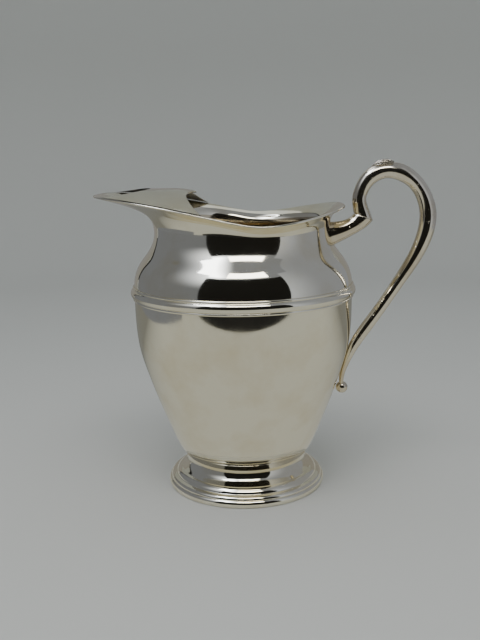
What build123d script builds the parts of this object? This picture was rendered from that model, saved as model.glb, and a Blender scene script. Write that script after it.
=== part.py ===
"""Silver water pitcher with a spouted lip, a fixed ice guard and a scroll handle.

Millimetres, +Z up. The origin is on the body's axis at the plane the foot stands on.
The spout points to -X and the handle to +X, and the whole pitcher is symmetric about
the XZ plane. Every piece is made of sheet metal or is a small casting, and the pieces
are soldered together face to face.
"""
from build123d import *
import os
from math import acos, atan2, cos, hypot, pi, sin

os.makedirs("parts", exist_ok=True)

# ---- driving dimensions ----------------------------------------------------------
wall = 1.3               # sheet thickness of the bowl and the shoulder
lip_wall = 1.2           # sheet thickness of the flared lip
guard_wall = 1.0         # sheet thickness of the ice guard

base_radius = 54.0       # base ring, outside
base_inner = 50.2        # base ring, inside
base_height = 4.6        # base ring wire, top to bottom
bowl_floor = 13.5        # underside of the bowl, inside the foot

belly_radius = 72.6      # widest part of the two body shells
seam_height = 134.5      # seam between the lower and the upper body
band_radius = 75.0       # outside of the belt moulding
band_half = 4.6          # half the moulding's height
neck_radius = 58.0       # waist of the neck
neck_height = 174.0

spout_reach = 96.0       # from the axis to the spout's tip
handle_reach = 67.3      # from the axis to the rim's handle end
rim_half_width = 65.0
plan_fullness = 0.76     # 1 makes the rim's two halves elliptical, less makes them fuller
tip_height = 197.9       # underside of the rim at the spout's tip
low_height = 180.6       # at its lowest point
low_x = 12.5             # which lies this far towards the handle
end_height = 189.2       # and at the handle end
lip_sections = 20        # radial sections in half of the lip
tip_slope = 0.27         # rise of the lip's flange at the spout, in mm per mm
end_slope = 0.45         # and at the handle
spout_softness = 0.12    # how rounded the rim is at its lowest point, on the spout's side
spout_power = 1.5        # 1 rises straight to the spout, more levels off towards it
handle_softness = 0.28   # the same on the handle's side
handle_power = 1.09      # more stays low for longer
lip_bend = 0.22          # share of the flange taken up by the bend out of the neck
throat_drop = 1.2        # the bend starts this far below the flange's line

guard_front = -87.0      # front corners of the guard, on the rim
guard_notch = -60.0      # bottom of the pouring notch
guard_back = -24.0       # rear corners of the guard, on the rim
guard_bay = -34.5        # bottom of the two rear bays
guard_point = -29.5      # point between the bays
guard_inset = 0.4        # the guard's sides stand this far inside the rim
guard_flange = 1.6       # width of the foot it is soldered by
solder_gap = 0.1         # thickness of the solder under that foot

handle_wall = 1.0        # sheet thickness of the handle's halves
finial_radius = 4.1
finial_at = (66.8, 0, 64.2)

# ---- lower body ------------------------------------------------------------------
bowl_outline = [
    (44.7, 26.2),
    (51.5, 41.2),
    (58.9, 60.0),
    (65.3, 78.7),
    (70.5, 97.5),
    (72.2, 112.5),
]
band_bottom = seam_height - band_half
band_top = seam_height + band_half

with BuildPart() as bowl_blank:
    with BuildSketch(Plane.XZ):
        with BuildLine():
            Polyline((0, seam_height), (0, bowl_floor), (30, bowl_floor + 1.6), (35.6, 16.4))
            Line((35.6, 16.4), (39.2, 18.4))
            Spline(
                (39.2, 18.4),
                *bowl_outline,
                (belly_radius, band_bottom),
                tangents=((0.62, 0.78), (0, 1)),
            )
            Line((belly_radius, band_bottom), (belly_radius, seam_height))
            Line((belly_radius, seam_height), (0, seam_height))
        make_face()
    revolve(axis=Axis.Z)

with BuildPart() as lower_body:
    add(bowl_blank.part)
    mouth = lower_body.faces().sort_by(Axis.Z)[-1]
    offset(amount=-wall, openings=mouth)
lower_body.part.label = "lower_body"

# ---- belt moulding ---------------------------------------------------------------
bore = belly_radius + 0.02
bead_half = 2.9
fillet_radius = 73.5
with BuildPart() as body_band:
    with BuildSketch(Plane.XZ):
        with BuildLine():
            Line((bore, band_top), (bore, band_bottom))
            Line((bore, band_bottom), (fillet_radius, band_bottom))
            Line((fillet_radius, band_bottom), (fillet_radius, seam_height - bead_half))
            ThreePointArc(
                (fillet_radius, seam_height - bead_half),
                (band_radius, seam_height),
                (fillet_radius, seam_height + bead_half),
            )
            Line((fillet_radius, seam_height + bead_half), (fillet_radius, band_top))
            Line((fillet_radius, band_top), (bore, band_top))
        make_face()
    revolve(axis=Axis.Z)
body_band.part.label = "body_band"

# ---- foot ------------------------------------------------------------------------
with BuildPart() as foot:
    with BuildSketch(Plane.XZ):
        with BuildLine():
            Line((36.6, 16.95), (38.3, 17.9))
            Spline((38.3, 17.9), (40.6, 13.6), (44.6, 11.2), tangents=((0.25, -1), (0.95, -0.3)))
            ThreePointArc((44.6, 11.2), (46.9, 10.5), (48.4, 8.6))
            Polyline((48.4, 8.6), (48.6, 7.4), (50.4, 6.9))
            ThreePointArc((50.4, 6.9), (51.8, 6.1), (52.4, base_height))
            Line((52.4, base_height), (51.0, base_height))
            ThreePointArc((51.0, base_height), (50.6, 5.3), (49.8, 5.6))
            Polyline((49.8, 5.6), (47.4, 6.2), (47.1, 8.0))
            ThreePointArc((47.1, 8.0), (46.1, 9.3), (43.9, 10.1))
            Spline((43.9, 10.1), (39.6, 12.9), (36.6, 16.95), tangents=((-0.95, 0.3), (-0.4, 1)))
        make_face()
    revolve(axis=Axis.Z)
foot.part.label = "foot"

with BuildPart() as base_ring:
    with BuildSketch(Plane.XZ):
        with BuildLine():
            Polyline((52.6, base_height), (base_inner, base_height), (base_inner, 0), (53.2, 0))
            ThreePointArc((53.2, 0), (base_radius, 2.0), (52.6, base_height))
        make_face()
    revolve(axis=Axis.Z)
base_ring.part.label = "base_ring"

# ---- upper body: shoulder, neck, lip and spout ------------------------------------
shoulder_outline = [
    (belly_radius, band_top),
    (71.9, 144.5),
    (67.9, 153.8),
    (61.5, 162.5),
    (neck_radius, neck_height),
]
shoulder_inside = [
    (neck_radius - lip_wall, neck_height),
    (60.3, 162.0),
    (66.8, 153.1),
    (70.6, 144.2),
    (belly_radius - wall, band_top),
]


def soft_ramp(share, softness):
    """Rises from 0 to 1 with the share, starting level."""
    return (hypot(share, softness) - softness) / (hypot(1, softness) - softness)


def edge_height(x):
    """Height of the wavy rim: lowest near the handle, rising to both ends."""
    if x < low_x:
        ramp = soft_ramp((low_x - x) / (low_x + spout_reach), spout_softness)
        return low_height + (tip_height - low_height) * (1 - max(0, 1 - ramp) ** spout_power)
    ramp = soft_ramp((x - low_x) / (handle_reach - low_x), handle_softness)
    return low_height + (end_height - low_height) * ramp**handle_power


def rim_point(turn):
    """A point of the rim's half outline: turn 0 is the spout's tip, pi the handle end."""
    reach = spout_reach if turn < pi / 2 else handle_reach
    x = -reach * cos(turn)
    return Vector(x, rim_half_width * abs(sin(turn)) ** plan_fullness, edge_height(x))


def rim_at(x):
    """The point of the spout half of the rim at this x."""
    return rim_point(acos(-x / spout_reach))


def lip_section(edge_point):
    """A closed radial section of the upper body, up to this point of the rim."""
    reach = hypot(edge_point.X, edge_point.Y)
    along = (edge_point.X + spout_reach) / (spout_reach + handle_reach)
    slope = tip_slope + (end_slope - tip_slope) * along
    knee = edge_point.Z - slope * (reach - neck_radius)
    bend = lip_bend * (reach - neck_radius)
    lean = hypot(1, slope)
    up = lip_wall / lean
    back = lip_wall * slope / lean
    angle = atan2(edge_point.Y, edge_point.X)
    outward = (cos(angle), sin(angle), 0)
    plane = Plane(origin=(0, 0, 0), x_dir=outward, z_dir=(sin(angle), -cos(angle), 0))
    with BuildSketch(plane) as section:
        with BuildLine():
            Line((belly_radius, seam_height), (belly_radius, band_top))
            Spline(*shoulder_outline, tangents=((0, 1), (0, 1)))
            Bezier(
                (neck_radius, neck_height),
                (neck_radius, knee - throat_drop),
                (neck_radius + bend, knee + slope * bend),
                (reach, edge_point.Z),
            )
            Line((reach, edge_point.Z), (reach - back, edge_point.Z + up))
            Bezier(
                (reach - back, edge_point.Z + up),
                (neck_radius + bend - back, knee + slope * bend + up),
                (neck_radius - lip_wall, knee - throat_drop / 3),
                (neck_radius - lip_wall, neck_height),
            )
            Spline(*shoulder_inside, tangents=((0, -1), (0, -1)))
            Line((belly_radius - wall, band_top), (belly_radius - wall, seam_height))
            Line((belly_radius - wall, seam_height), (belly_radius, seam_height))
        make_face()
    return section.sketch


# Sections right round the pitcher: one half from the spout to the handle, then its mirror image
# on the way back. The first section closes the loft.
half_stations = [lip_section(rim_point(pi * i / lip_sections)) for i in range(lip_sections + 1)]
mirrored_stations = [mirror(station, about=Plane.XZ) for station in half_stations[-2:0:-1]]
lip_loop = half_stations + mirrored_stations + half_stations[:1]

with BuildPart() as upper_body:
    loft(sections=lip_loop)
upper_body.part.label = "upper_body"

# ---- ice guard -------------------------------------------------------------------
# A low arch across the spout, soldered down on the rim along both sides. Each station is
# its place along X and the height of its crown.
guard_line = [
    (-88, 201.2),
    (-74, 201.9),
    (-56, 202.1),
    (-40, 201.8),
    (-30, 200.0),
    (-20, 197.0),
]
guard_arches = []
for station_x, crown in guard_line:
    corner = rim_at(station_x)
    half = corner.Y - guard_inset
    foot_z = corner.Z + lip_wall + solder_gap
    inner_half = half - guard_flange
    with BuildSketch(Plane.YZ.offset(station_x)) as arch:
        with BuildLine():
            ThreePointArc((-half, foot_z), (0, crown), (half, foot_z))
            Line((half, foot_z), (inner_half, foot_z - solder_gap))
            ThreePointArc(
                (inner_half, foot_z - solder_gap),
                (0, crown - guard_wall),
                (-inner_half, foot_z - solder_gap),
            )
            Line((-inner_half, foot_z - solder_gap), (-half, foot_z))
        make_face()
    guard_arches.append(arch.sketch)


def notch_point(share):
    """A point of the pouring notch, at this share of the guard's half width."""
    x = guard_notch + (guard_front - guard_notch) * share**2
    return (x, share * (rim_at(x).Y - guard_inset))


notch_line = [notch_point(share) for share in (-1, -0.75, -0.5, -0.25, 0, 0.25, 0.5, 0.75, 1)]
back_half = rim_at(guard_back).Y + 1
beyond = 80              # clear of the guard on both sides
with BuildPart() as ice_guard:
    add(guard_arches)
    loft()
    with BuildSketch():
        with BuildLine():
            Spline(*notch_line)
            Polyline(
                notch_line[-1],
                (guard_front, beyond),
                (guard_back, beyond),
                (guard_back, back_half),
            )
            Spline(
                (guard_back, back_half),
                (guard_bay + 1.5, 40),
                (guard_bay, 24),
                (guard_point, 0),
                tangents=((-0.3, -1), (1, -0.35)),
            )
            Spline(
                (guard_point, 0),
                (guard_bay, -24),
                (guard_bay + 1.5, -40),
                (guard_back, -back_half),
                tangents=((-1, -0.35), (0.3, -1)),
            )
            Polyline(
                (guard_back, -back_half),
                (guard_back, -beyond),
                (guard_front, -beyond),
                notch_line[0],
            )
        make_face()
    extrude(amount=250, mode=Mode.INTERSECT)
ice_guard.part.label = "ice_guard"

# ---- handle ----------------------------------------------------------------------
# Centreline of the scroll in the XZ plane, with the section's depth and width there. The
# scroll starts on a slanting joint, flared to the heel of the arm below it.
handle_joint = Plane(origin=(80.6, 0, 181.0), x_dir=(0, 1, 0), z_dir=(0.38, 0, 1))
handle_line = [
    (80.6, 181.0, 13.0, 10.4),
    (78.6, 186.4, 10.2, 9.8),
    (77.6, 192.4, 9.4, 9.2),
    (78.9, 198.3, 9.3, 9.2),
    (82.2, 204.2, 10.0, 9.6),
    (88.0, 209.0, 10.6, 10.2),
    (95.8, 211.0, 10.6, 10.4),
    (104.6, 209.4, 11.0, 10.4),
    (113.6, 203.4, 10.2, 10.2),
    (120.2, 193.6, 10.4, 10.0),
    (123.2, 181.0, 11.2, 10.0),
    (121.4, 168.8, 10.8, 9.8),
    (117.0, 157.6, 9.8, 9.4),
    (105.2, 138.2, 8.2, 8.6),
    (92.9, 119.8, 7.8, 8.0),
    (82.6, 105.4, 8.0, 7.6),
    (73.8, 91.6, 6.6, 7.2),
    (69.3, 80.8, 4.4, 6.4),
    (66.7, 72.0, 3.4, 5.4),
    (66.4, 66.8, 3.0, 4.6),
]
solid_tail = 3           # the last sections are too thin to be hollow, and the flare is solid
with BuildLine() as handle_path:
    Spline([(x, 0, z) for x, z, _, _ in handle_line], tangents=((-0.35, 0, 1), (0, 0, -1)))
path_edge = handle_path.edge()


def handle_plane(x, z):
    """The plane across the handle at this point of its centreline."""
    heading = path_edge % path_edge.param_at_point((x, 0, z))
    return Plane(origin=(x, 0, z), x_dir=(0, 1, 0), z_dir=heading)


def handle_section(plane, depth, width, inset):
    """An oval section across the handle, inset from the outer skin."""
    with BuildSketch(plane) as section:
        Ellipse(width / 2 - inset, depth / 2 - inset)
    return section.sketch


handle_planes = [handle_joint] + [handle_plane(x, z) for x, z, _, _ in handle_line[1:]]
stations = [(plane, row[2], row[3]) for plane, row in zip(handle_planes, handle_line)]
outer_stations = [handle_section(*station, 0) for station in stations]
inner_stations = [handle_section(*station, handle_wall) for station in stations[1:-solid_tail]]

with BuildPart() as handle_blank:
    add(outer_stations)
    loft()

with BuildPart() as handle_core:
    add(inner_stations)
    loft()

with BuildPart() as handle_tube:
    add(handle_blank.part)
    add(handle_core.part, mode=Mode.SUBTRACT)
    add(bowl_blank.part, mode=Mode.SUBTRACT)

with BuildPart() as handle_near_half:
    add(handle_tube.part)
    split(bisect_by=Plane.XZ, keep=Keep.TOP)
handle_near_half.part.label = "handle_near_half"

with BuildPart() as handle_far_half:
    add(handle_tube.part)
    split(bisect_by=Plane.XZ, keep=Keep.BOTTOM)
handle_far_half.part.label = "handle_far_half"

# ---- handle arm ------------------------------------------------------------------
# The socket that joins the neck to the scroll, trimmed to the neck where it lands.
arm_line = [
    (56.0, 169.6, 17.5, 13.0, (1, 0, 0.1)),
    (64.0, 171.6, 13.6, 11.6, (1, 0, 0.25)),
    (71.0, 174.2, 11.6, 10.8, (1, 0, 0.45)),
    (76.6, 177.4, 11.8, 10.6, (1, 0, 0.8)),
    (80.6, 181.0, 13.2, 10.6, (0.38, 0, 1)),
]
arm_stations = []
for x, z, depth, width, heading in arm_line:
    with BuildSketch(Plane(origin=(x, 0, z), x_dir=(0, 1, 0), z_dir=heading)) as section:
        Ellipse(width / 2, depth / 2)
    arm_stations.append(section.sketch)

above_arm = neck_height + 10
with BuildPart() as neck_blank:
    with BuildSketch(Plane.XZ):
        with BuildLine():
            Line((0, band_top), (belly_radius, band_top))
            Spline(*shoulder_outline, tangents=((0, 1), (0, 1)))
            Polyline(
                (neck_radius, neck_height),
                (neck_radius, above_arm),
                (0, above_arm),
                (0, band_top),
            )
        make_face()
    revolve(axis=Axis.Z)

with BuildPart() as handle_arm:
    add(arm_stations)
    loft()
    add(handle_blank.part, mode=Mode.SUBTRACT)
    add(neck_blank.part, mode=Mode.SUBTRACT)
    add(upper_body.part, mode=Mode.SUBTRACT)
handle_arm.part.label = "handle_arm"

# ---- thumb leaf ------------------------------------------------------------------
leaf_line = [
    (86.2, 213.2, 2.4, 2.6, (0.75, 0, 0.6)),
    (90.2, 214.9, 5.0, 7.6, (0.9, 0, 0.35)),
    (94.8, 215.8, 5.2, 9.0, (1, 0, 0.05)),
    (99.4, 215.2, 3.6, 6.4, (1, 0, -0.2)),
]
leaf_stations = []
for x, z, depth, width, heading in leaf_line:
    with BuildSketch(Plane(origin=(x, 0, z), x_dir=(0, 1, 0), z_dir=heading)) as section:
        Ellipse(width / 2, depth / 2)
    leaf_stations.append(section.sketch)

with BuildPart() as thumb_leaf:
    add(leaf_stations)
    loft()
    add(handle_blank.part, mode=Mode.SUBTRACT)
thumb_leaf.part.label = "thumb_leaf"

# ---- handle finial ---------------------------------------------------------------
with BuildPart() as handle_finial:
    with Locations(finial_at):
        Sphere(finial_radius)
    add(handle_blank.part, mode=Mode.SUBTRACT)
handle_finial.part.label = "handle_finial"

# ---- files -----------------------------------------------------------------------
pieces = [
    lower_body,
    body_band,
    foot,
    base_ring,
    upper_body,
    ice_guard,
    handle_near_half,
    handle_far_half,
    handle_arm,
    thumb_leaf,
    handle_finial,
]
for piece in pieces:
    export_step(piece.part, f"parts/{piece.part.label}.step")
    box = piece.part.bounding_box()
    print(piece.part.label, len(piece.part.solids()), round(piece.part.volume / 1000, 2), box.min, box.max)
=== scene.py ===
"""Silver water pitcher with a spouted lip, an ice guard and a scroll handle.

Places are in the frame's axes: +Z up, spout towards -X, handle towards +X.
The pitcher is written in millimetres and the stage in metres. The mesh builders take millimetres.
"""
import math

import bmesh
import bpy
import numpy as np
from mathutils import Matrix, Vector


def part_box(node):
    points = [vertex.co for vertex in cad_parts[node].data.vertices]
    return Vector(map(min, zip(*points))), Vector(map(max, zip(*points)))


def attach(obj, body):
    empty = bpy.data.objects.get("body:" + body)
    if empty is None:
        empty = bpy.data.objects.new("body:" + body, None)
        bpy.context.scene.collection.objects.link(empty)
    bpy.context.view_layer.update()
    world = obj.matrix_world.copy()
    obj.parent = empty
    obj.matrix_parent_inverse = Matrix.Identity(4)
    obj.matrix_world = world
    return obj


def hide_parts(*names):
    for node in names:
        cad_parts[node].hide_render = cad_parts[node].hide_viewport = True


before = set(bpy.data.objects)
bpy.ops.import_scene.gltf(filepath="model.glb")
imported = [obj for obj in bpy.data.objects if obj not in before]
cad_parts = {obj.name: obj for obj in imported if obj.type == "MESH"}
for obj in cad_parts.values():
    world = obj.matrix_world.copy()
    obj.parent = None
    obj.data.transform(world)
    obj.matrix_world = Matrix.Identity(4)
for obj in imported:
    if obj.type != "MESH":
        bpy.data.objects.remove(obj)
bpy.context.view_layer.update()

MM = 0.001


# ---- sizes read from the frame, in millimetres ------------------------------------
def box_mm(node):
    low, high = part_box(node)
    return np.array(low) / MM, np.array(high) / MM


bowl_low, bowl_high = box_mm("lower_body")
band_low, band_high = box_mm("body_band")
base_height = box_mm("base_ring")[1][2]
finial_low, finial_high = box_mm("handle_finial")

belly_radius = 72.6
bowl_floor = bowl_low[2]
seam_height = bowl_high[2]
band_radius = 75.0
band_bottom = band_low[2]
band_top = band_high[2]
wall = 1.3
lip_wall = 1.2
neck_radius = 58.0
neck_height = 174.0

# The wavy rim: its reach to both ends, its width and its heights along X.
spout_reach = 96.0
handle_reach = 67.3
rim_half_width = 65.0
plan_fullness = 0.76
tip_height = 197.9
low_height = 180.6
low_x = 12.5
end_height = 189.2
tip_slope = 0.27
end_slope = 0.45
spout_softness = 0.12
spout_power = 1.5
handle_softness = 0.28
handle_power = 1.09

# Sections round the axis of every turned piece and of the rim.
AROUND = 288


# ---- curves -----------------------------------------------------------------------
def spline(points, count, start=None, end=None):
    """Smooth curve through the points. start and end are directions, or left free."""
    p = np.array(points, float)
    h = np.linalg.norm(np.diff(p, axis=0), axis=1)
    n = len(p)
    a = np.zeros((n, n))
    b = np.zeros_like(p)
    for i in range(1, n - 1):
        a[i, i - 1] = h[i]
        a[i, i] = 2 * (h[i - 1] + h[i])
        a[i, i + 1] = h[i - 1]
        b[i] = 3 * (h[i] * (p[i] - p[i - 1]) / h[i - 1] + h[i - 1] * (p[i + 1] - p[i]) / h[i])
    for row, near, step, direction in ((0, 1, h[0], start), (n - 1, n - 2, h[-1], end)):
        if direction is None:
            a[row, row] = 2
            a[row, near] = 1
            b[row] = 3 * (p[max(row, near)] - p[min(row, near)]) / step
        else:
            a[row, row] = 1
            b[row] = np.array(direction, float) / np.linalg.norm(direction)
    m = np.linalg.solve(a, b)
    knots = np.concatenate([[0], np.cumsum(h)])
    at = np.linspace(0, knots[-1], count)
    k = np.clip(np.searchsorted(knots, at, side="right") - 1, 0, n - 2)
    t = ((at - knots[k]) / h[k])[:, None]
    hk = h[k][:, None]
    return (
        (2 * t**3 - 3 * t**2 + 1) * p[k]
        + (t**3 - 2 * t**2 + t) * hk * m[k]
        + (3 * t**2 - 2 * t**3) * p[k + 1]
        + (t**3 - t**2) * hk * m[k + 1]
    )


def bezier(p0, p1, p2, p3, count):
    t = np.linspace(0, 1, count)[:, None]
    p0, p1, p2, p3 = (np.array(p, float) for p in (p0, p1, p2, p3))
    return (1 - t) ** 3 * p0 + 3 * (1 - t) ** 2 * t * p1 + 3 * (1 - t) * t**2 * p2 + t**3 * p3


def arc(start, middle, end, count):
    """Circle arc through three points in a plane."""
    (ax, ay), (bx, by), (cx, cy) = start, middle, end
    d = 2 * (ax * (by - cy) + bx * (cy - ay) + cx * (ay - by))
    ux = ((ax**2 + ay**2) * (by - cy) + (bx**2 + by**2) * (cy - ay) + (cx**2 + cy**2) * (ay - by)) / d
    uy = ((ax**2 + ay**2) * (cx - bx) + (bx**2 + by**2) * (ax - cx) + (cx**2 + cy**2) * (bx - ax)) / d
    first = math.atan2(ay - uy, ax - ux)
    sweep = (math.atan2(cy - uy, cx - ux) - first) % (2 * math.pi)
    via = (math.atan2(by - uy, bx - ux) - first) % (2 * math.pi)
    if via > sweep:
        sweep -= 2 * math.pi
    angles = first + np.linspace(0, 1, count) * sweep
    radius = math.hypot(ax - ux, ay - uy)
    return np.column_stack([ux + radius * np.cos(angles), uy + radius * np.sin(angles)])


def join(*pieces):
    """One line from several, dropping a point that repeats the one before."""
    line = np.vstack([np.array(piece, float).reshape(-1, 2) for piece in pieces])
    keep = np.concatenate([[True], np.linalg.norm(np.diff(line, axis=0), axis=1) > 1e-4])
    return line[keep]


def resample(line, spacing):
    """Points along the line at equal steps of about this spacing."""
    run = np.concatenate([[0], np.cumsum(np.linalg.norm(np.diff(line, axis=0), axis=1))])
    count = max(3, int(round(run[-1] / spacing)) + 1)
    at = np.linspace(0, run[-1], count)
    return np.column_stack([np.interp(at, run, line[:, i]) for i in range(line.shape[1])])


def offset_line(line, distance):
    """The line moved sideways, to its left for a positive distance."""
    tangent = np.gradient(line, axis=0)
    tangent /= np.linalg.norm(tangent, axis=1)[:, None]
    return line + distance * np.column_stack([-tangent[:, 1], tangent[:, 0]])


def round_corners(points, radius, steps=6):
    """The open line with each inner corner rounded by a short curve of about this radius."""
    p = np.array(points, float)
    out = [p[0]]
    for i in range(1, len(p) - 1):
        before = p[i - 1] - p[i]
        after = p[i + 1] - p[i]
        reach = min(radius, 0.45 * np.linalg.norm(before), 0.45 * np.linalg.norm(after))
        first = p[i] + before / np.linalg.norm(before) * reach
        last = p[i] + after / np.linalg.norm(after) * reach
        for t in np.linspace(0, 1, steps):
            out.append((1 - t) ** 2 * first + 2 * (1 - t) * t * p[i] + t**2 * last)
    out.append(p[-1])
    return np.array(out)


# ---- meshes -----------------------------------------------------------------------
def grid_mesh(name, rows, close_rows, close_columns, material, cap_ends=False, inner=None):
    """A smooth quad mesh from a (rows, columns, 3) array in millimetres.

    inner is a second material with the first and last column of the faces that take it.
    """
    nu, nv = rows.shape[:2]
    verts = (rows.reshape(-1, 3) * MM).tolist()
    faces = []
    slots = []
    for i in range(nu if close_rows else nu - 1):
        for j in range(nv if close_columns else nv - 1):
            a = i * nv + j
            b = i * nv + (j + 1) % nv
            c = ((i + 1) % nu) * nv + (j + 1) % nv
            d = ((i + 1) % nu) * nv + j
            faces.append((a, b, c, d))
            slots.append(1 if inner and inner[1] <= j < inner[2] else 0)
    if cap_ends:
        faces.append(tuple(range(nv)))
        faces.append(tuple((nu - 1) * nv + j for j in range(nv)))
        slots += [0, 0]
    mesh = bpy.data.meshes.new(name)
    mesh.from_pydata(verts, [], faces)
    mesh.polygons.foreach_set("material_index", slots)
    bm = bmesh.new()
    bm.from_mesh(mesh)
    bmesh.ops.remove_doubles(bm, verts=bm.verts, dist=1e-7)
    bmesh.ops.dissolve_degenerate(bm, edges=bm.edges, dist=1e-8)
    bmesh.ops.recalc_face_normals(bm, faces=bm.faces)
    bm.to_mesh(mesh)
    bm.free()
    mesh.polygons.foreach_set("use_smooth", [True] * len(mesh.polygons))
    mesh.materials.append(material)
    if inner:
        mesh.materials.append(inner[0])
    piece = bpy.data.objects.new(name, mesh)
    bpy.context.scene.collection.objects.link(piece)
    return piece


def turned(name, outline, material, closed=True, inner=None):
    """The outline of radius and height turned about the axis."""
    angles = np.arange(AROUND) * 2 * math.pi / AROUND
    r = outline[:, 0][None, :]
    z = np.repeat(outline[:, 1][None, :], AROUND, axis=0)
    rows = np.stack([r * np.cos(angles)[:, None], r * np.sin(angles)[:, None], z], axis=-1)
    return grid_mesh(name, rows, True, closed, material, inner=inner)


def stand_for(piece, slot, *nodes):
    """The piece takes the place of these CAD nodes. The slot argument is not used."""
    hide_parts(*nodes)
    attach(piece, "root")
    return piece


# ---- materials --------------------------------------------------------------------
def new_material(name):
    """An empty node material with one principled shader, and its nodes and links."""
    material = bpy.data.materials.new(name)
    material.use_nodes = True
    nodes = material.node_tree.nodes
    nodes.clear()
    shader = nodes.new("ShaderNodeBsdfPrincipled")
    output = nodes.new("ShaderNodeOutputMaterial")
    material.node_tree.links.new(shader.outputs[0], output.inputs["Surface"])
    return material, nodes, material.node_tree.links, shader


def noise_node(nodes, links, vector, scale, detail=3.0, roughness=0.55):
    node = nodes.new("ShaderNodeTexNoise")
    node.inputs["Scale"].default_value = scale
    node.inputs["Detail"].default_value = detail
    node.inputs["Roughness"].default_value = roughness
    links.new(vector, node.inputs["Vector"])
    return node.outputs["Fac"]


def ramp_node(nodes, links, value, low, high, out_low=0.0, out_high=1.0):
    node = nodes.new("ShaderNodeMapRange")
    node.inputs["From Min"].default_value = low
    node.inputs["From Max"].default_value = high
    node.inputs["To Min"].default_value = out_low
    node.inputs["To Max"].default_value = out_high
    links.new(value, node.inputs["Value"])
    return node.outputs["Result"]


def math_node(nodes, links, operation, a, b):
    node = nodes.new("ShaderNodeMath")
    node.operation = operation
    for socket, value in zip(node.inputs, (a, b)):
        if isinstance(value, (int, float)):
            socket.default_value = value
        else:
            links.new(value, socket)
    return node.outputs[0]


def mapped(nodes, links, vector, scale):
    node = nodes.new("ShaderNodeMapping")
    node.inputs["Scale"].default_value = scale
    links.new(vector, node.inputs["Vector"])
    return node.outputs["Vector"]


scratch_depth = 0.0000012


def silver(name, clean, tarnish, rough_low, rough_high, dents, pits):
    """Silver plate with hairline scratches, soft dents, a trace of tarnish and pits.

    dents and pits are depths in metres.
    """
    material, nodes, links, shader = new_material(name)
    shader.inputs["Metallic"].default_value = 1.0
    position = nodes.new("ShaderNodeTexCoord").outputs["Object"]

    clouds = noise_node(nodes, links, position, 38.0, 4.0)
    tint = nodes.new("ShaderNodeMix")
    tint.data_type = "RGBA"
    tint.inputs["A"].default_value = (*clean, 1)
    tint.inputs["B"].default_value = (*tarnish, 1)
    links.new(ramp_node(nodes, links, clouds, 0.45, 0.75), tint.inputs["Factor"])
    links.new(tint.outputs["Result"], shader.inputs["Base Color"])

    smear = noise_node(nodes, links, mapped(nodes, links, position, (60, 60, 18)), 1.0, 5.0)
    speckle = noise_node(nodes, links, position, 900.0, 2.0)
    rough = math_node(
        nodes,
        links,
        "ADD",
        ramp_node(nodes, links, smear, 0.35, 0.75, rough_low, rough_high),
        ramp_node(nodes, links, speckle, 0.55, 0.8, 0.0, 0.05),
    )
    links.new(rough, shader.inputs["Roughness"])

    waves = noise_node(nodes, links, position, 26.0, 1.0)
    hairlines = noise_node(nodes, links, mapped(nodes, links, position, (2600, 2600, 120)), 1.0, 3.0)
    pitting = ramp_node(nodes, links, noise_node(nodes, links, position, 420.0, 1.0), 0.70, 0.78)
    dent = math_node(nodes, links, "MULTIPLY", waves, dents)
    scratch = math_node(nodes, links, "MULTIPLY", hairlines, scratch_depth)
    pit = math_node(nodes, links, "MULTIPLY", pitting, pits)
    raised = math_node(nodes, links, "ADD", dent, scratch)
    height = math_node(nodes, links, "SUBTRACT", raised, pit)
    bump = nodes.new("ShaderNodeBump")
    bump.inputs["Strength"].default_value = 1.0
    bump.inputs["Distance"].default_value = 1.0
    links.new(height, bump.inputs["Height"])
    links.new(bump.outputs["Normal"], shader.inputs["Normal"])
    return material


bright = (0.93, 0.88, 0.72)
yellowed = (0.86, 0.78, 0.58)
body_silver = silver("body_silver", bright, yellowed, 0.04, 0.10, 0.00012, 0.0)
trim_silver = silver("trim_silver", bright, yellowed, 0.05, 0.13, 0.00005, 0.00002)
cast_silver = silver(
    "cast_silver", (0.86, 0.79, 0.64), (0.62, 0.52, 0.36), 0.07, 0.18, 0.00012, 0.00012
)
leaf_silver = silver(
    "leaf_silver", (0.66, 0.61, 0.51), (0.40, 0.35, 0.27), 0.16, 0.32, 0.00008, 0.00012
)
inner_silver = silver(
    "inner_silver", (0.66, 0.58, 0.42), (0.42, 0.34, 0.22), 0.10, 0.24, 0.00006, 0.00004
)
satin_silver = silver(
    "satin_silver", (0.86, 0.83, 0.76), (0.74, 0.70, 0.60), 0.50, 0.6, 0.00004, 0.0
)
# Nearly black silver: painted shade under the guard's front, and a dark solder line with painted
# shadow along the guard's foot.
shade_and_solder_silver = silver(
    "shade_and_solder_silver", (0.07, 0.06, 0.045), (0.04, 0.034, 0.025), 0.34, 0.5, 0.00004, 0.00003
)


# ---- bowl -------------------------------------------------------------------------
bowl_outline = [
    (39.2, 18.4),
    (44.7, 26.2),
    (51.5, 41.2),
    (58.9, 60.0),
    (65.3, 78.7),
    (70.5, 97.5),
    (72.2, 112.5),
    (belly_radius, band_bottom),
]
bowl_under = join([(0, bowl_floor), (30, bowl_floor + 1.6), (35.6, 16.4)])
bowl_outside = resample(
    join(
        resample(bowl_under, 1.5),
        spline(bowl_outline, 200, start=(0.62, 0.78), end=(0, 1)),
        [(belly_radius, seam_height)],
    ),
    1.2,
)
bowl_inside = offset_line(bowl_outside, wall)[::-1]
bowl_inside[:, 0] = np.maximum(bowl_inside[:, 0], 0)
bowl_inside[-1] = (0, bowl_floor + wall)
bowl_inside[0] = (belly_radius - wall, seam_height)
bowl_wall = join(bowl_outside, bowl_inside)
inside = (inner_silver, len(bowl_outside), len(bowl_wall))
bowl = turned("bowl", bowl_wall, body_silver, closed=False, inner=inside)
stand_for(bowl, "silver_body", "lower_body")

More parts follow.
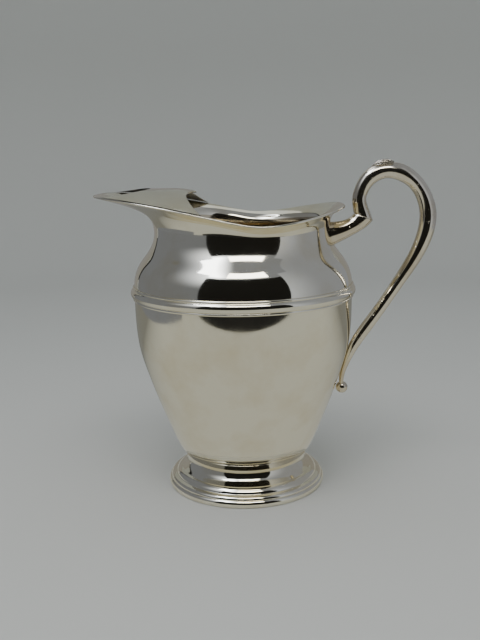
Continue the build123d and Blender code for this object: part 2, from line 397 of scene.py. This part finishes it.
# ---- belt moulding ----------------------------------------------------------------
bead_half = 2.9
fillet_radius = 73.5
fillet_height = 1.55
fillet_middle = 0.75
band_outline = join(
    [(belly_radius + 0.03, band_bottom + 0.05)],
    arc(
        (fillet_radius - 0.5, band_bottom),
        (fillet_radius + 0.1, band_bottom + fillet_middle),
        (fillet_radius - 0.2, band_bottom + fillet_height),
        9,
    ),
    arc(
        (fillet_radius - 0.1, seam_height - bead_half),
        (band_radius, seam_height),
        (fillet_radius - 0.1, seam_height + bead_half),
        25,
    ),
    arc(
        (fillet_radius - 0.2, band_top - fillet_height),
        (fillet_radius + 0.1, band_top - fillet_middle),
        (fillet_radius - 0.5, band_top),
        9,
    ),
    [(belly_radius + 0.03, band_top - 0.05)],
)
belt = turned("belt_moulding", band_outline, trim_silver)
stand_for(belt, "silver_trim", "body_band")

# ---- foot -------------------------------------------------------------------------
foot_outline = join(
    [(37.0, 17.0), (38.3, 17.85)],
    spline([(38.3, 17.85), (40.5, 13.7), (44.6, 10.9)], 30, start=(0.25, -1), end=(0.85, -0.52)),
    arc((44.6, 10.9), (46.8, 9.9), (48.35, 8.2), 16),
    round_corners([(48.35, 8.2), (48.6, 7.3), (50.3, 6.95)], 0.5),
    arc((50.4, 6.9), (51.8, 6.1), (52.35, base_height + 0.02), 14),
    [(51.0, base_height + 0.02)],
    arc((51.0, base_height + 0.05), (50.6, 5.3), (49.8, 5.6), 8),
    [(49.8, 5.6), (47.4, 6.2), (47.1, 8.0)],
    arc((47.1, 8.0), (46.1, 9.3), (43.9, 10.1), 10),
    spline([(43.9, 10.1), (39.6, 12.9), (37.0, 16.7)], 20),
)
pedestal = turned("pedestal_foot", foot_outline, body_silver)
stand_for(pedestal, "silver_body", "foot")

ring_outline = join(
    [(50.25, base_height), (50.25, 0.25), (50.5, 0.0), (53.1, 0.0)],
    arc((53.2, 0.02), (53.98, 2.0), (52.6, base_height), 24),
)
ring = turned("base_ring_wire", ring_outline, trim_silver)
stand_for(ring, "silver_trim", "base_ring")


# ---- shoulder, neck, lip and spout ------------------------------------------------
def soft_ramp(share, softness):
    """Rises from 0 to 1 with the share, starting level."""
    return (math.hypot(share, softness) - softness) / (math.hypot(1, softness) - softness)


def edge_height(x):
    """Height of the wavy rim: lowest near the handle, rising to both ends."""
    if x < low_x:
        ramp = soft_ramp((low_x - x) / (low_x + spout_reach), spout_softness)
        return low_height + (tip_height - low_height) * (1 - max(0, 1 - ramp) ** spout_power)
    ramp = soft_ramp((x - low_x) / (handle_reach - low_x), handle_softness)
    return low_height + (end_height - low_height) * ramp**handle_power


def rim_point(turn):
    """A point of the rim: turn 0 is the spout's tip and pi the handle end."""
    reach = spout_reach if math.cos(turn) > 0 else handle_reach
    x = -reach * math.cos(turn)
    y = rim_half_width * abs(math.sin(turn)) ** plan_fullness
    return np.array([x, y if turn <= math.pi else -y, edge_height(x)])


def rim_turns(count):
    """Turns that divide the rim into equal lengths."""
    fine = np.linspace(0, 2 * math.pi, 4001)
    points = np.array([rim_point(t) for t in fine])
    run = np.concatenate([[0], np.cumsum(np.linalg.norm(np.diff(points, axis=0), axis=1))])
    return np.interp(np.arange(count) * run[-1] / count, run, fine)


shoulder_outline = [
    (belly_radius, band_top),
    (71.9, 144.5),
    (67.9, 153.8),
    (61.5, 162.5),
    (neck_radius, neck_height),
]
shoulder_outside = resample(spline(shoulder_outline, 200, start=(0, 1), end=(0, 1)), 1.0)
shoulder_inside = offset_line(shoulder_outside, wall)[::-1]


lip_bend = 0.22
throat_drop = 1.2
lip_samples = 36
nose_samples = 7
edge_round = 0.5


def lip_section(edge):
    """Radius and height round a section of the upper body, up to this rim point."""
    reach = math.hypot(edge[0], edge[1])
    along = (edge[0] + spout_reach) / (spout_reach + handle_reach)
    slope = tip_slope + (end_slope - tip_slope) * along
    knee = edge[2] - slope * (reach - neck_radius)
    bend = lip_bend * (reach - neck_radius)
    lean = math.hypot(1, slope)
    up = lip_wall / lean
    back = lip_wall * slope / lean
    outside = bezier(
        (neck_radius, neck_height),
        (neck_radius, knee - throat_drop),
        (neck_radius + bend, knee + slope * bend),
        (reach - edge_round, edge[2] - edge_round * slope),
        lip_samples,
    )
    inside = bezier(
        (reach - back - edge_round, edge[2] + up - edge_round * slope),
        (neck_radius + bend - back, knee + slope * bend + up),
        (neck_radius - lip_wall, knee - throat_drop / 3),
        (neck_radius - lip_wall, neck_height),
        lip_samples,
    )
    nose = arc(outside[-1], (reach - 0.5 * back, edge[2] + 0.5 * up), inside[0], nose_samples)
    return np.vstack([
        [(belly_radius, seam_height)],
        shoulder_outside,
        outside[1:],
        nose[1:-1],
        inside,
        shoulder_inside[1:],
        [(belly_radius - wall, seam_height)],
    ])


# This many columns of the lip's inside stay bright, and the darker silver starts after them.
bright_inside = 26
throat_from = len(shoulder_outside) + lip_samples + nose_samples - 2 + bright_inside

upper_rows = []
for turn in rim_turns(AROUND):
    edge = rim_point(turn)
    section = lip_section(edge)
    angle = math.atan2(edge[1], edge[0])
    radius, height = section.T
    upper_rows.append(np.column_stack([radius * math.cos(angle), radius * math.sin(angle), height]))
upper_rows = np.array(upper_rows)
inside = (inner_silver, throat_from, upper_rows.shape[1])
shoulder_and_lip = grid_mesh("shoulder_and_lip", upper_rows, True, True, body_silver, inner=inside)
stand_for(shoulder_and_lip, "silver_body", "upper_body")

# ---- ice guard --------------------------------------------------------------------
guard_front = -87.0
guard_notch = -60.0
guard_back = -24.0
guard_bay = -34.5
guard_point = -29.5
bay_place = 0.42
guard_wall = 1.0
guard_inset = 0.4
solder_gap = 0.1
# The crown starts to grow fuller at this X, and is full after this length towards the tip.
fuller_from = -52.0
fuller_over = 16.0
# Width of the dark solder line with painted shadow along the guard's foot, and the X behind which the
# underside is satin and in front of which it is painted shade.
solder_and_shadow_width = 0.8
underside_turn = -48.0
guard_samples = 60
front_columns = 26
crown_points = [(-88, 201.1), (-74, 201.8), (-56, 202.0), (-40, 201.7), (-30, 199.9), (-20, 196.9)]
crown_line = spline(crown_points, 80)


def guard_half_width(x):
    return rim_point(math.acos(-x / spout_reach))[1] - guard_inset


def guard_edges(v):
    """Where the guard starts and ends along X, at this fraction of its half width."""
    front = guard_notch + (guard_front - guard_notch) * abs(v) ** 2.0
    if abs(v) < bay_place:
        back = guard_bay + (guard_point - guard_bay) * (1 - abs(v) / bay_place) ** 2
    else:
        back = guard_bay + (guard_back - guard_bay) * ((abs(v) - bay_place) / (1 - bay_place)) ** 2
    return front, back


def guard_place(x, v, drop):
    """A point of the guard, crowned across; the crown grows fuller towards the front."""
    foot = edge_height(x) + lip_wall + solder_gap
    crown = np.interp(x, crown_line[:, 0], crown_line[:, 1]) - drop
    fullness = 2 + min(1, max(0, (fuller_from - x) / fuller_over))
    return (x, v * guard_half_width(x), foot + (crown - foot) * (1 - abs(v) ** fullness))


guard_rows = []
for v in np.linspace(-1, 1, 121):
    front, back = guard_edges(v)
    xs = front + (back - front) * np.linspace(0, 1, guard_samples)
    top = [guard_place(x, v, 0) for x in xs]
    under = [guard_place(x, v * 0.985, guard_wall) for x in xs[::-1]]
    guard_rows.append(top + under)
# The front part of the underside takes the nearly black silver as painted shade.
front_edge = (shade_and_solder_silver, 2 * guard_samples - front_columns, 2 * guard_samples)
guard = grid_mesh(
    "ice_guard_plate", np.array(guard_rows), False, True, body_silver, True, front_edge
)
guard.data.materials.append(satin_silver)
# The solder line takes the nearly black silver, a dark joint with painted shadow; the front underside
# takes it too as painted shade, and the rear underside is satin.
for face in guard.data.polygons:
    x, y, _ = face.center / MM
    if guard_half_width(x) - abs(y) < solder_and_shadow_width:
        face.material_index = 1
    elif face.normal.z < -0.2 and x > underside_turn:
        face.material_index = 2
    elif face.normal.z < -0.2:
        face.material_index = 1
stand_for(guard, "silver_body", "ice_guard")

# ---- handle -----------------------------------------------------------------------
# Each row holds X, Z, depth and width of the scroll, from the arm to the tail.
handle_line = np.array([
    (80.6, 181.0, 13.0, 10.4),
    (78.6, 186.4, 10.2, 9.8),
    (77.6, 192.4, 9.4, 9.2),
    (78.9, 198.3, 9.3, 9.2),
    (82.2, 204.2, 10.0, 9.6),
    (88.0, 209.0, 10.6, 10.2),
    (95.8, 211.0, 10.6, 10.4),
    (104.6, 209.4, 11.0, 10.4),
    (113.6, 203.4, 10.2, 10.2),
    (120.2, 193.6, 10.4, 10.0),
    (123.2, 181.0, 11.2, 10.0),
    (121.4, 168.8, 10.8, 9.8),
    (117.0, 157.6, 9.8, 9.4),
    (105.2, 138.2, 8.2, 8.6),
    (92.9, 119.8, 7.8, 8.0),
    (82.6, 105.4, 8.0, 7.6),
    (73.8, 91.6, 6.6, 7.2),
    (69.3, 80.8, 4.4, 6.4),
    (66.7, 72.0, 3.4, 5.4),
    (66.4, 66.8, 3.0, 4.6),
])
path_count = 300
handle_path = spline(handle_line, path_count)
joint_heading = np.array([0.38, 1.0]) / math.hypot(0.38, 1.0)
path_heading = np.gradient(handle_path[:, :2], axis=0)
path_heading /= np.linalg.norm(path_heading, axis=1)[:, None]
path_steps = np.linalg.norm(np.diff(handle_path[:, :2], axis=0), axis=1)
path_run = np.concatenate([[0], np.cumsum(path_steps)])
# The first sections turn from the slant of the joint to square across the scroll.
settling_length = 7.0
settled = np.clip(path_run / settling_length, 0, 1)[:, None]
path_heading = joint_heading * (1 - settled) + path_heading * settled
path_heading /= np.linalg.norm(path_heading, axis=1)[:, None]

rib_start = 34.0
rib_end = path_run[-1] - 22.0
rib_height = 0.45
rib_fade_in = 10.0
rib_fade_out = 30.0


def spine_rib(run):
    """Height of the narrow raised strip on the scroll's outer side, fading in and out."""
    rise = max(0, (run - rib_start) / rib_fade_in)
    fall = max(0, (rib_end - run) / rib_fade_out)
    return rib_height * min(1, rise, fall)


shell_skin = 0.02
half_gap = 0.01
rib_share = 0.17


def handle_half(name, side, node):
    """One die-struck half of the scroll, on the near side (-1) or the far side (1)."""
    rows = []
    for (x, z, depth, width), (tx, tz), run in zip(handle_path, path_heading, path_run):
        rib = spine_rib(run)
        row = []
        for angle in np.linspace(0, math.pi, 65):
            sideways = (width / 2 - shell_skin) * math.sin(angle)
            outward = (depth / 2 - shell_skin) * math.cos(angle)
            strip = 1 / (1 + (sideways / (rib_share * width)) ** 10)
            outward -= rib * (1 - strip) * min(1, max(0, 3 * math.cos(angle)))
            row.append((x - tz * outward, side * (sideways + half_gap), z + tx * outward))
        rows.append(row)
    piece = grid_mesh(name, np.array(rows), False, True, cast_silver, cap_ends=True)
    return stand_for(piece, "silver_cast", node)


handle_half("handle_near_shell", -1, "handle_near_half")
handle_half("handle_far_shell", 1, "handle_far_half")


def casting(name, line, around, material, node, lobes=0, lobe_depth=0.0, lobe_twist=0.0):
    """A closed form through ellipses, which may be lobed like a leaf.

    Each row of the line holds X, Z, depth, width and the heading in X and Z.
    """
    rows = []
    for x, z, depth, width, tx, tz in spline(line, 60):
        size = math.hypot(tx, tz)
        twist = lobe_twist * (x - line[0][0])
        row = []
        for angle in np.linspace(0, 2 * math.pi, around, endpoint=False):
            lobe = 1 - lobe_depth + lobe_depth * math.cos(lobes * angle + twist)
            up = lobe * depth / 2 * math.cos(angle)
            sideways = lobe * width / 2 * math.sin(angle)
            row.append((x - tz / size * up, sideways, z + tx / size * up))
        rows.append(row)
    piece = grid_mesh(name, np.array(rows), False, True, material, cap_ends=True)
    return stand_for(piece, "silver_cast", node)


arm_line = [
    (56.0, 169.6, 17.5, 13.0, 1, 0.1),
    (64.0, 171.6, 13.6, 11.6, 1, 0.25),
    (71.0, 174.2, 11.6, 10.8, 1, 0.45),
    (76.6, 177.4, 11.8, 10.6, 1, 0.8),
    (80.6, 181.0, 13.2, 10.6, 0.38, 1),
]
casting("handle_socket", arm_line, 48, cast_silver, "handle_arm")

leaf_line = [
    (86.2, 213.2, 2.4, 2.6, 0.75, 0.6),
    (90.2, 214.9, 5.0, 7.6, 0.9, 0.35),
    (94.8, 215.8, 5.2, 9.0, 1, 0.05),
    (99.4, 215.2, 3.6, 6.4, 1, -0.2),
]
casting("thumb_leaf_casting", leaf_line, 160, leaf_silver, "thumb_leaf", 10, 0.1, 0.9)

# ---- finial -----------------------------------------------------------------------
ball_centre = (finial_low + finial_high) / 2
ball_radius = (finial_high[0] - finial_low[0]) / 2
ball_centre[2] = finial_low[2] + ball_radius
polar = np.linspace(0, math.pi, 40)
ball_rows = []
for angle in np.linspace(0, 2 * math.pi, 64, endpoint=False):
    ball_rows.append(np.column_stack([
        ball_centre[0] + ball_radius * np.sin(polar) * math.cos(angle),
        ball_radius * np.sin(polar) * math.sin(angle),
        ball_centre[2] + ball_radius * np.cos(polar),
    ]))
ball = grid_mesh("handle_ball", np.array(ball_rows), True, False, cast_silver)
stand_for(ball, "silver_cast", "handle_finial")


# ---- stage ------------------------------------------------------------------------
def plain(name, colour):
    """A matt material of one colour."""
    material, _, _, shader = new_material(name)
    shader.inputs["Base Color"].default_value = (*colour, 1)
    shader.inputs["Roughness"].default_value = 0.9
    return material


# The room is a round floor that sweeps up into a wall.
room_radius = 1.45
room_height = 1.5
sweep_radius = 0.45
floor_radius = room_radius - sweep_radius
halfway = math.sin(math.pi / 4)
room_outline = join(
    np.column_stack([np.linspace(0.0, floor_radius, 12), np.zeros(12)]),
    arc(
        (floor_radius, 0),
        (floor_radius + sweep_radius * halfway, sweep_radius * (1 - halfway)),
        (room_radius, sweep_radius),
        16,
    ),
    [(room_radius, sweep_radius), (room_radius, room_height)],
)
pale_backdrop = plain("pale_backdrop", (0.60, 0.60, 0.575))
room = turned("room", room_outline / MM, pale_backdrop, closed=False)

# What the silver mirrors are glowing cards: a dark room in front, walls, lamps and a ceiling.
# They stand round this height on the pitcher's axis, just inside the edge of the flat floor.
card_centre = 0.14
card_distance = 0.95
floor_card_reach = 0.96
floor_card_height = 0.002


def reflected_only(piece):
    """The silver reflects this piece, but it neither shows nor lights the room."""
    piece.visible_camera = False
    piece.visible_diffuse = False
    piece.visible_shadow = False


def card(name, azimuth, elevation, material, distance=card_distance):
    """A curved card seen from the pitcher between these azimuths and elevations.

    Azimuth 0 is towards the camera and grows to the camera's right.
    """
    rows = []
    for e in np.radians(np.linspace(*elevation, 16)):
        row = []
        for a in np.radians(np.linspace(*azimuth, 48)):
            row.append((
                distance * math.sin(a) * math.cos(e),
                -distance * math.cos(a) * math.cos(e),
                card_centre + distance * math.sin(e),
            ))
        rows.append(row)
    reflected_only(grid_mesh(name, np.array(rows) / MM, False, False, material))


def floor_card(name, azimuth, facing, edge, material):
    """A card on the floor beyond the table's straight edge, which faces this azimuth."""
    far = floor_card_reach
    rows = []
    for share in np.linspace(0, 1, 8):
        row = []
        for a in np.linspace(*azimuth, 48):
            near = min(far - 0.01, edge / max(0.1, math.cos(math.radians(a - facing))))
            reach = near + (far - near) * share
            a = math.radians(a)
            row.append((reach * math.sin(a), -reach * math.cos(a), floor_card_height))
        rows.append(row)
    reflected_only(grid_mesh(name, np.array(rows) / MM, False, False, material))


def glow(name, colour, strength):
    """A material that only glows."""
    material, _, _, shader = new_material(name)
    shader.inputs["Base Color"].default_value = (0, 0, 0, 1)
    shader.inputs["Roughness"].default_value = 1.0
    shader.inputs["Emission Color"].default_value = (*colour, 1)
    shader.inputs["Emission Strength"].default_value = strength
    return material


def glow_across(name, colour, base, added, up=None, across=None, axis="Y"):
    """A glow of the base strength, with the added one fading in up the room and across it.

    up holds the two heights, and across the two places along the axis, between which it fades.
    """
    material = glow(name, colour, base)
    nodes = material.node_tree.nodes
    links = material.node_tree.links
    split = nodes.new("ShaderNodeSeparateXYZ")
    links.new(nodes.new("ShaderNodeTexCoord").outputs["Object"], split.inputs[0])
    amount = added
    for place, limits in ((split.outputs["Z"], up), (split.outputs[axis], across)):
        if limits:
            share = ramp_node(nodes, links, place, *limits)
            eased = math_node(nodes, links, "POWER", share, 2.0)
            amount = math_node(nodes, links, "MULTIPLY", eased, amount)
    strength = math_node(nodes, links, "ADD", amount, base)
    shader = nodes["Principled BSDF"]
    links.new(strength, shader.inputs["Emission Strength"])
    return material


bluish = (0.94, 1.01, 1.18)
dark = glow("dark_room", (1, 0.95, 0.8), 0.006)
left_wall = glow_across("left_wall", bluish, 0.165, 5.0, up=(0.42, 0.98), across=(0.10, -0.55))
right_wall = glow_across("right_wall", bluish, 0.26, 0.26, across=(0.0, -0.60))
ceiling = glow_across("ceiling", bluish, 0.22, 7.0, up=(0.75, 0.85), across=(-0.10, -0.34), axis="X")
lamp = glow("lamp", (1.0, 1.0, 1.0), 7.0)
beige = glow("beige_ceiling", (1.0, 0.95, 0.82), 0.32)
dim_cloth = glow("dim_cloth", (1.0, 0.99, 0.95), 0.24)
# The cloth glow is a painted reflection of the lit floor, brighter in front and darker behind.
lit_cloth = glow_across("lit_cloth", (0.98, 1.0, 0.93), 0.455, -0.28, across=(-0.10, 0.24))

# Elevations in degrees where the walls start, where the dark front ends and where the ceiling
# takes over from the walls.
wall_foot = -9
front_top = 43
wall_top = 62
# The table's edges, in metres from the pitcher's axis.
table_front = 0.50
table_left = 0.56
table_right = 0.72

card("front_room", (-45, 47), (wall_foot, front_top), dark)
floor_card("front_floor", (-50, 53), 0, table_front, dark)
card("left_wall_card", (-137, -45), (wall_foot, wall_top), left_wall)
floor_card("left_floor", (-137, -62), -90, table_left, left_wall)
card("left_gap", (-140, -137), (0, wall_top), dark)
card("right_wall_card", (47, 138), (wall_foot, wall_top), right_wall)
floor_card("right_floor", (66, 138), 90, table_right, right_wall)
# The glowing cloth, seen only in reflections, paints the lit floor's reflection.
cloth_outline = np.array([(60.0, 1.0), (300.0, 1.0), (950.0, 1.0)])
reflected_only(turned("table_cloth", cloth_outline, lit_cloth, closed=False))
card("lamp_card", (-21, 32), (46, 58), lamp, 0.9)
card("ceiling_front", (-45, 47), (front_top, wall_top), ceiling)
card("ceiling_wide", (-66, 62), (50, wall_top), ceiling, 0.93)
card("ceiling_top", (-180, 180), (wall_top, 89.5), ceiling)
card("beige_corner", (-125, -72), (64, 85), beige, 0.9)
card("left_cloth", (-180, -140), (wall_foot, 14), dim_cloth)
card("right_cloth", (138, 180), (wall_foot, 14), dim_cloth)

world = bpy.data.worlds.new("soft_room")
world.use_nodes = True
background = world.node_tree.nodes["Background"]
background.inputs["Color"].default_value = (0.92, 0.98, 1.02, 1)
background.inputs["Strength"].default_value = 0.79
bpy.context.scene.world = world

# One wide lamp overhead, in front of the pitcher and a little to its spout side.
# It lights the room and the pitcher, and the silver does not mirror it.
softbox_place = (-0.08, -0.46, 0.95)
key = bpy.data.lights.new("overhead_softbox", "AREA")
key.shape = "RECTANGLE"
key.size = 0.6
key.size_y = 0.5
key.energy = 3.7
key_object = bpy.data.objects.new("overhead_softbox", key)
key_object.location = softbox_place
key_object.visible_glossy = False
bpy.context.scene.collection.objects.link(key_object)

# ---- camera -----------------------------------------------------------------------
camera = bpy.data.cameras.new("camera")
camera.sensor_width = 36
camera.lens = 45
camera_object = bpy.data.objects.new("camera", camera)
camera_place = (-0.0025, -0.5315, 0.2247)
pitch_down = math.radians(11.89)
lean = math.radians(-1.12)
camera_object.matrix_world = (
    Matrix.Translation(camera_place)
    @ Matrix.Rotation(math.pi / 2 - pitch_down, 4, "X")
    @ Matrix.Rotation(lean, 4, "Z")
)
bpy.context.scene.collection.objects.link(camera_object)
bpy.context.scene.camera = camera_object
